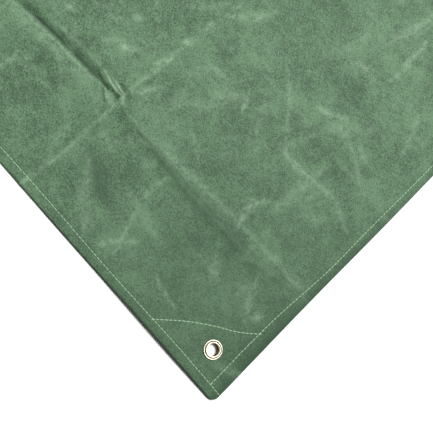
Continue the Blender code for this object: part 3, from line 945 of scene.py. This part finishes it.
# ---- cloth
def cloth_shell():
    """The cloth as one closed shell: a fine upper face and a coarser underside."""
    p_lines = lines_across(LENGTH, [fold[0] for fold in DOWN_FOLDS], NEAR_REACH_P, PINCH_P)
    q_lines = lines_across(WIDTH, [fold[0] for fold in CROSS_FOLDS], NEAR_REACH_Q, PINCH_Q)
    columns = len(p_lines)
    rows = len(q_lines)
    p, q = np.meshgrid(p_lines, q_lines)
    x, y, inset = place(p, q)
    drop = edge_drop(inset)
    pull = seam_pull(x, y) + patch_seam_pull(x, y)
    top = top_height(x, y) - pull * smooth(0.0, 0.004, inset) - drop
    bottom = bottom_height(x, y) + drop + UNDERSIDE_PULL * np.maximum(pull, 0.0)
    points = np.stack([x, y, top], axis=-1).reshape(-1, 3)

    edge = len(EDGE_LINES)
    kept_p = kept_lines(columns, edge)
    kept_q = kept_lines(rows, edge)
    index = {}
    lower = []
    for j in kept_q:
        for i in kept_p:
            if i in (0, columns - 1) or j in (0, rows - 1):
                index[i, j] = j * columns + i
            else:
                index[i, j] = len(points) + len(lower)
                lower.append((x[j, i], y[j, i], bottom[j, i]))
    faces = []
    for j in range(rows - 1):
        start = j * columns
        for i in range(columns - 1):
            a = start + i
            faces.append((a, a + columns, a + columns + 1, a + 1))
    for j_0, j_1 in zip(kept_q, kept_q[1:]):
        for i_0, i_1 in zip(kept_p, kept_p[1:]):
            faces.append(underside_face(index, i_0, i_1, j_0, j_1, columns, rows))
    return mesh_object("canvas", np.vstack([points, lower]), faces)


def kept_lines(count, edge):
    """The lines that the underside keeps: those of the hem, and a few of the others."""
    middle = list(range(edge, count - edge, UNDERSIDE_STRIDE))
    return list(range(edge)) + middle + list(range(count - edge, count))


def underside_face(index, i_0, i_1, j_0, j_1, columns, rows):
    """One face of the underside. A side on the rim takes in all of the rim's points."""
    face = []
    sides = (
        ([(i, j_0) for i in range(i_0, i_1)], j_0 == 0),
        ([(i_1, j) for j in range(j_0, j_1)], i_1 == columns - 1),
        ([(i, j_1) for i in range(i_1, i_0, -1)], j_1 == rows - 1),
        ([(i_0, j) for j in range(j_1, j_0, -1)], i_0 == 0),
    )
    for side, on_rim in sides:
        for i, j in side if on_rim else side[:1]:
            face.append(j * columns + i if on_rim else index[i, j])
    return face


def scattered_marks():
    """Seeded pale marks, weaker on the part of the cloth that has listed ones."""
    rng = np.random.default_rng(SCATTER_SEED)
    rows = []
    while len(rows) < SCATTERED_RUBS:
        p, q = rng.uniform(0.02, 0.88, 2)
        heading = rng.uniform(0.0, math.pi)
        length = rng.uniform(0.008, 0.070)
        strength = rng.uniform(0.15, 0.65)
        width = rng.uniform(0.0024, 0.0070)
        bow = rng.uniform(-0.003, 0.003)
        if p < NEAR_REACH_P and q < NEAR_REACH_Q:
            strength *= SCATTER_NEAR
        end_p = p + length * math.cos(heading)
        end_q = q + length * math.sin(heading)
        rows.append((p, q, end_p, end_q, bow, width, strength))
    return rows


def crease_rub(p, q):
    """The wax is also rubbed along the packet's creases, in uneven stretches."""
    creases = [
        (p - at - value_along(sway, q), 0.030, 30 + number, 0.20)
        for number, (at, _, sway, _) in enumerate(DOWN_FOLDS)
    ]
    creases += [
        (q - at - value_along(sway, p), 0.034, 40 + number, 0.22)
        for number, (at, _, _, sway, _) in enumerate(CROSS_FOLDS)
    ]
    total = np.zeros_like(p)
    for distance, size, seed, strength in creases:
        uneven = strength * lumps(p - WIDTH / 2, q - WIDTH / 2, size, seed)
        total = np.maximum(total, uneven * np.exp(-(distance / CREASE_RUB_WIDTH) ** 2))
    return total


def hem_painted_shade(x, y):
    """Painted shade on the hems, uneven: a little on the front and back hems, more on the +X and
    -X hems and most towards their edge, and a near-black painted shadow on the rounded edge of
    every hem.
    """
    in_x, in_y = from_corner(x, y)
    along_front = 0.4 * (1 - smooth(0.009, 0.013, in_y))
    along_side = 1.9 * (1 - smooth(0.0, 0.015, in_x))
    uneven = 0.20 + 0.40 * lumps(x, y, 0.038, 17)
    hem_shade = np.maximum(along_front, along_side) * uneven
    # painted shadow: the outermost millimetre, the hem's rounded edge, is made near black
    folded = 1 - smooth(0.0002, 0.0009, np.minimum(in_x, in_y))
    return np.maximum(hem_shade, 2.0 * folded)


def corner_painted_shade(x, y):
    """Painted shade: the cloth is darker towards each of its corners."""
    reach = np.hypot(*from_corner(x, y))
    return 0.74 * (1 - smooth(0.04, 0.42, reach))


class OBJECT_OT_tarp_cloth(bpy.types.Operator):
    """Builds the hemmed cloth, a closed shell with its creases and four punched holes"""

    bl_idname = f"{PREFIX}.cloth"
    bl_label = "Cloth"

    def execute(self, context):
        canvas = cloth_shell()
        punch_holes(canvas, eyelet_places())
        x, y, _ = coordinates(canvas).T
        p = LENGTH / 2 - x
        q = WIDTH / 2 + y
        rub = strokes(p, q, RUB_MARKS + tuple(scattered_marks()), RUB_SPREAD)
        set_attribute(canvas, "rub", np.maximum(rub, crease_rub(p, q)))
        # the deep attribute holds painted shade of creases, hems, edges and corners, and some
        # darker patches
        marks = np.maximum(strokes(p, q, SHADE_AND_DEEP_MARKS), hem_painted_shade(x, y))
        set_attribute(canvas, "deep", marks + corner_painted_shade(x, y))
        dress(canvas, waxed_duck("waxed cotton duck", context.scene.tarp_canvas), 50)
        given_piece(canvas, ["cloth"])
        return {"FINISHED"}


# ---- corner patches
def patch_shell(name, side_x, side_y):
    """A three-sided sheet under one corner, with its long side bowed."""
    across = PATCH_LINES
    normal = np.array([PATCH_LEG_Y, PATCH_LEG_X]) / math.hypot(PATCH_LEG_X, PATCH_LEG_Y)
    corner = np.array([PATCH_INSET, PATCH_INSET])
    first = 1 - PATCH_INSET / PATCH_LEG_Y
    last = PATCH_INSET / PATCH_LEG_X
    rows = []
    for t in np.linspace(last, first, across):
        bow = PATCH_BOW * 4 * t * (1 - t)
        outer = np.array([PATCH_LEG_X * (1 - t), PATCH_LEG_Y * t]) + normal * bow
        outer = np.maximum(outer, PATCH_INSET)
        rows.append([corner + (outer - corner) * s for s in np.linspace(0.0, 1.0, across)])
    grid = np.array(rows).reshape(-1, 2)
    x = side_x * (LENGTH / 2 - grid[:, 0])
    y = side_y * (WIDTH / 2 - grid[:, 1])
    top = underside(x, y) - GAP
    count = len(grid)
    points = np.vstack([np.stack([x, y, top], 1), np.stack([x, y, top - PATCH], 1)])
    faces = []
    for j in range(across - 1):
        for i in range(across - 1):
            a = j * across + i
            face = (a, a + 1, a + across + 1, a + across)
            faces.append(face)
            faces.append(tuple(k + count for k in reversed(face)))
    rim = list(range(across - 1)) + list(range(across - 1, count - 1, across))
    rim += list(range(count - 1, count - across, -1))
    rim += list(range(count - across, 0, -across))
    for a, b in zip(rim, rim[1:] + rim[:1]):
        faces.append((a, a + count, b + count, b))
    patch = mesh_object(name, points, faces)
    face_outwards(patch, merge=1e-5)
    return patch


class OBJECT_OT_tarp_patches(bpy.types.Operator):
    """Builds the four reinforcing patches under the corners"""

    bl_idname = f"{PREFIX}.patches"
    bl_label = "Corner patches"

    def execute(self, context):
        finish = waxed_duck("waxed cotton duck, back", context.scene.tarp_canvas)
        for number, (side, place_here) in enumerate(zip(CORNERS, eyelet_places()), 1):
            patch = patch_shell(f"reinforcing_patch_{number}", *side)
            punch_holes(patch, [place_here])
            count = len(patch.data.vertices)
            set_attribute(patch, "rub", np.zeros(count))
            set_attribute(patch, "deep", np.full(count, PATCH_DEPTH))
            dress(patch, finish, 50)
            given_piece(patch, [f"corner_patch_{number}"])
        return {"FINISHED"}


# ---- seams
def stitch_tree():
    """Stitches along a line of edges: one short rounded thread at every pitch."""
    tree = bpy.data.node_groups.new("stitches along a seam", "GeometryNodeTree")
    sockets = (
        ("Seam", "NodeSocketGeometry", None),
        ("Pitch", "NodeSocketFloat", 0.0047),
        ("Thickness", "NodeSocketFloat", 0.0011),
        ("Height", "NodeSocketFloat", 0.0008),
        ("Seed", "NodeSocketInt", 4),
        ("Thread", "NodeSocketMaterial", None),
    )
    for name, kind, value in sockets:
        socket = tree.interface.new_socket(name, in_out="INPUT", socket_type=kind)
        if value is not None:
            socket.default_value = value
    tree.interface.new_socket("Stitches", in_out="OUTPUT", socket_type="NodeSocketGeometry")
    given = add_node(tree, "NodeGroupInput").outputs
    line = add_node(tree, "GeometryNodeMeshToCurve", None, {"Mesh": given["Seam"]})
    along = {"Curve": line.outputs["Curve"], "Length": given["Pitch"]}
    spots = add_node(tree, "GeometryNodeCurveToPoints", {"mode": "LENGTH"}, along)
    bead_shape = {"Segments": 8, "Rings": 5, "Radius": 0.5}
    bead = add_node(tree, "GeometryNodeMeshUVSphere", None, bead_shape)
    axis = {"axis": "X", "pivot_axis": "AUTO"}
    tangent = {"Vector": spots.outputs["Tangent"]}
    heading = add_node(tree, "FunctionNodeAlignRotationToVector", axis, tangent)
    slack_range = {2: 1.00, 3: 1.14, "Seed": given["Seed"]}
    slack = add_node(tree, "FunctionNodeRandomValue", {"data_type": "FLOAT"}, slack_range)
    length = maths(tree, "MULTIPLY", given["Pitch"], slack.outputs[1])
    size_parts = {0: length, 1: given["Thickness"], 2: given["Height"]}
    size = add_node(tree, "ShaderNodeCombineXYZ", None, size_parts)
    laid = add_node(tree, "GeometryNodeInstanceOnPoints", None, {
        "Points": spots.outputs["Points"],
        "Instance": bead.outputs["Mesh"],
        "Rotation": heading.outputs["Rotation"],
        "Scale": size.outputs["Vector"],
    })
    stitches = {"Geometry": laid.outputs["Instances"]}
    real = add_node(tree, "GeometryNodeRealizeInstances", None, stitches)
    dressed = {"Geometry": real.outputs["Geometry"], "Material": given["Thread"]}
    threaded = add_node(tree, "GeometryNodeSetMaterial", None, dressed)
    add_node(tree, "NodeGroupOutput", None, {"Stitches": threaded.outputs["Geometry"]})
    return tree


def sewn(name, lines, settings, thread, seed):
    """Stitches along several lines of points, as one plain mesh."""
    points = []
    edges = []
    for line in lines:
        start = len(points)
        points += [tuple(point) for point in line]
        edges += [(start + k, start + k + 1) for k in range(len(line) - 1)]
    made = mesh_object(name, points, [], edges)
    tree = stitch_tree()
    modifier = made.modifiers.new("stitches", "NODES")
    modifier.node_group = tree
    values = {
        "Pitch": settings.pitch,
        "Thickness": settings.thickness,
        "Height": settings.thickness * 0.8,
        "Seed": seed,
        "Thread": thread,
    }
    for item in tree.interface.items_tree:
        if item.item_type == "SOCKET" and item.in_out == "INPUT" and item.name in values:
            modifier[item.identifier] = values[item.name]
    made.update_tag()
    plain_mesh(made)
    made.data.shade_smooth()
    return given_piece(made, [])


def hem_lines():
    """The four lines of hem stitching, as X and Y. Those along X run the whole width."""
    lines = []
    end_x = LENGTH / 2 - SEAM_END
    along_x = np.linspace(-end_x, end_x, SEAM_STATIONS)
    for side in (-1, 1):
        lines.append((along_x, side * (WIDTH / 2 - seam_in_y(along_x))))
    end_y = WIDTH / 2 - SEAM_IN - SEAM_MEETING
    along_y = np.linspace(-end_y, end_y, SEAM_STATIONS)
    for side in (1, -1):
        lines.append((side * (LENGTH / 2 - seam_in_x(along_y)), along_y))
    return lines


def patch_underside(x, y):
    return underside(x, y) - GAP - PATCH


def on_face(x, y, height):
    return np.stack([x, y, height], axis=1)


class OBJECT_OT_tarp_seams(bpy.types.Operator):
    """Sews the hems and the corner patches, on both faces of the cloth"""

    bl_idname = f"{PREFIX}.seams"
    bl_label = "Seams"

    def execute(self, context):
        settings = context.scene.tarp_seams
        thread = spun_thread(settings)
        in_x, in_y = patch_seam_points().T
        patches = [
            (side_x * (LENGTH / 2 - in_x), side_y * (WIDTH / 2 - in_y))
            for side_x, side_y in CORNERS
        ]
        seams = (
            ("hem_stitches", hem_lines(), bottom_height, 4),
            ("patch_stitches", patches, patch_underside, 9),
        )
        for name, lines, lower_face, seed in seams:
            above = [on_face(x, y, top_height(x, y) - SUNK_ABOVE) for x, y in lines]
            below = [on_face(x, y, lower_face(x, y) + SUNK_BELOW) for x, y in lines]
            sewn(name, above + below, settings, thread, seed)
        return {"FINISHED"}


# ---- eyelets
def arc(centre_radius, centre_height, radius, start, end, count):
    """Points of (radius, height) round a small circle, from one angle in degrees to another."""
    turns = np.radians(np.linspace(start, end, count))
    return [
        (centre_radius + radius * math.cos(turn), centre_height + radius * math.sin(turn))
        for turn in turns
    ]


def eyelet_outline():
    """The front half: a domed rim, a groove, and a rolled lip that goes down as the barrel."""
    flange = CLOTH + GAP
    base = -PATCH - 3 * GAP - 2 * PLATE
    return (
        [(BARREL, flange), (FLANGE, flange), (FLANGE, flange + 0.0005)]
        + arc(0.0100, flange + 0.0002, 0.0008, 40, 140, 7)
        + [(0.0092, flange + 0.0001), (0.0088, flange + 0.0001)]
        + arc(0.0077, flange + 0.0010, 0.0009, -10, 180, 10)
        + [(THROAT, flange + 0.0002), (THROAT, -0.0012), (THROAT, base)]
        + [(0.0089, base), (0.0091, base + PLATE / 2), (0.0089, base + PLATE)]
        + [(BARREL, base + PLATE)]
    )


def washer_outline():
    """The back half: a flat ring with a round edge, under the patch."""
    top = -PATCH - 2 * GAP
    return (
        [(HOLE_RADIUS, top), (WASHER, top)]
        + arc(WASHER, top - PLATE / 2, PLATE / 2, 90, -90, 5)
        + [(HOLE_RADIUS, top - PLATE)]
    )


def brass_and_shade_points(half, x, y):
    """Which points are down the throat or in the groove, to be painted dark brown: bare brass with
    painted shade in the throat, and painted shade in the groove.
    """
    point_x, point_y, point_z = coordinates(half).T
    radius = np.hypot(point_x - x, point_y - y)
    height = point_z - SEAT
    inside = (radius < THROAT + 0.0001) & (height < 0.0022)
    grooved = (radius > GROOVE[0]) & (radius < GROOVE[1]) & (height > 0) & (height < 0.0018)
    return inside | grooved


class OBJECT_OT_tarp_eyelets(bpy.types.Operator):
    """Turns the two halves of each eyelet"""

    bl_idname = f"{PREFIX}.eyelets"
    bl_label = "Eyelets"

    def execute(self, context):
        settings = context.scene.tarp_eyelets
        metal = nickelled_brass(settings)
        for number, (x, y) in enumerate(eyelet_places(), 1):
            halves = (
                (f"eyelet_front_{number}", eyelet_outline(), f"eyelet_{number}"),
                (f"eyelet_back_{number}", washer_outline(), f"washer_{number}"),
            )
            for name, outline, node in halves:
                half = ring(name, outline, x, y, SEAT, settings.steps)
                set_attribute(half, "throat", brass_and_shade_points(half, x, y))
                dress(half, metal, 40)
                given_piece(half, [node])
        return {"FINISHED"}


# ---- stage
def lamp(name, kind, place_here, power):
    """A light that faces LIT_POINT."""
    data = bpy.data.lights.new(name, kind)
    data.energy = power
    made = bpy.data.objects.new(name, data)
    made.location = place_here
    aim = Vector(LIT_POINT) - Vector(place_here)
    made.rotation_euler = aim.to_track_quat("-Z", "Y").to_euler()
    bpy.context.scene.collection.objects.link(made)
    return data


class OBJECT_OT_tarp_stage(bpy.types.Operator):
    """Lays the floor and sets the lights and the camera"""

    bl_idname = f"{PREFIX}.stage"
    bl_label = "Stage"

    def execute(self, context):
        settings = context.scene.tarp_stage
        reach = FLOOR_REACH
        corners = ((-reach, -reach), (reach, -reach), (reach, reach), (-reach, reach))
        floor = mesh_object("floor", [(x, y, 0.0) for x, y in corners], [(0, 1, 2, 3)])
        floor.data.materials.append(matt_paper(settings))

        world = bpy.data.worlds.new("soft_room")
        world.use_nodes = True
        back = world.node_tree.nodes["Background"]
        back.inputs["Color"].default_value = (1.0, 1.0, 1.0, 1.0)
        back.inputs["Strength"].default_value = settings.sky_strength
        context.scene.world = world

        key = lamp("key", "SUN", KEY_PLACE, settings.key_strength)
        key.angle = math.radians(KEY_BREADTH)
        overhead = lamp("overhead", "AREA", OVERHEAD_PLACE, settings.overhead_power)
        overhead.shape = "DISK"
        overhead.size = OVERHEAD_SIZE

        camera_data = bpy.data.cameras.new("camera")
        camera_data.lens = CAMERA_LENS_MM
        camera_data.sensor_width = CAMERA_SENSOR_MM
        camera = bpy.data.objects.new("camera", camera_data)
        axes = Matrix((CAMERA_RIGHT, CAMERA_UP, CAMERA_BACK)).transposed()
        camera.matrix_world = Matrix.Translation(CAMERA_PLACE) @ axes.to_4x4()
        context.scene.collection.objects.link(camera)
        context.scene.camera = camera
        context.scene.view_settings.view_transform = "Standard"
        return {"FINISHED"}


OPERATORS = (
    OBJECT_OT_tarp_cloth,
    OBJECT_OT_tarp_patches,
    OBJECT_OT_tarp_seams,
    OBJECT_OT_tarp_eyelets,
    OBJECT_OT_tarp_stage,
)


class VIEW3D_PT_tarp(bpy.types.Panel):
    """Lists the tarp's settings and its operators"""

    bl_idname = "VIEW3D_PT_tarp"
    bl_label = "Waxed canvas tarp"
    bl_space_type = "VIEW_3D"
    bl_region_type = "UI"
    bl_category = "Tarp"

    def draw(self, context):
        for name in SETTINGS:
            group = getattr(context.scene, name)
            box = self.layout.box()
            for setting in group.bl_rna.properties:
                if setting.identifier not in ("rna_type", "name"):
                    box.prop(group, setting.identifier)
        for operator in OPERATORS:
            self.layout.operator(operator.bl_idname)


CLASSES = (*SETTINGS.values(), *OPERATORS, VIEW3D_PT_tarp)


def register():
    for item in CLASSES:
        bpy.utils.register_class(item)
    for name, group in SETTINGS.items():
        setattr(bpy.types.Scene, name, bpy.props.PointerProperty(type=group))


def unregister():
    for name in SETTINGS:
        delattr(bpy.types.Scene, name)
    for item in reversed(CLASSES):
        bpy.utils.unregister_class(item)


def main():
    register()
    for operator in OPERATORS:
        group, name = operator.bl_idname.split(".")
        getattr(getattr(bpy.ops, group), name)()


if __name__ == "__main__":
    main()
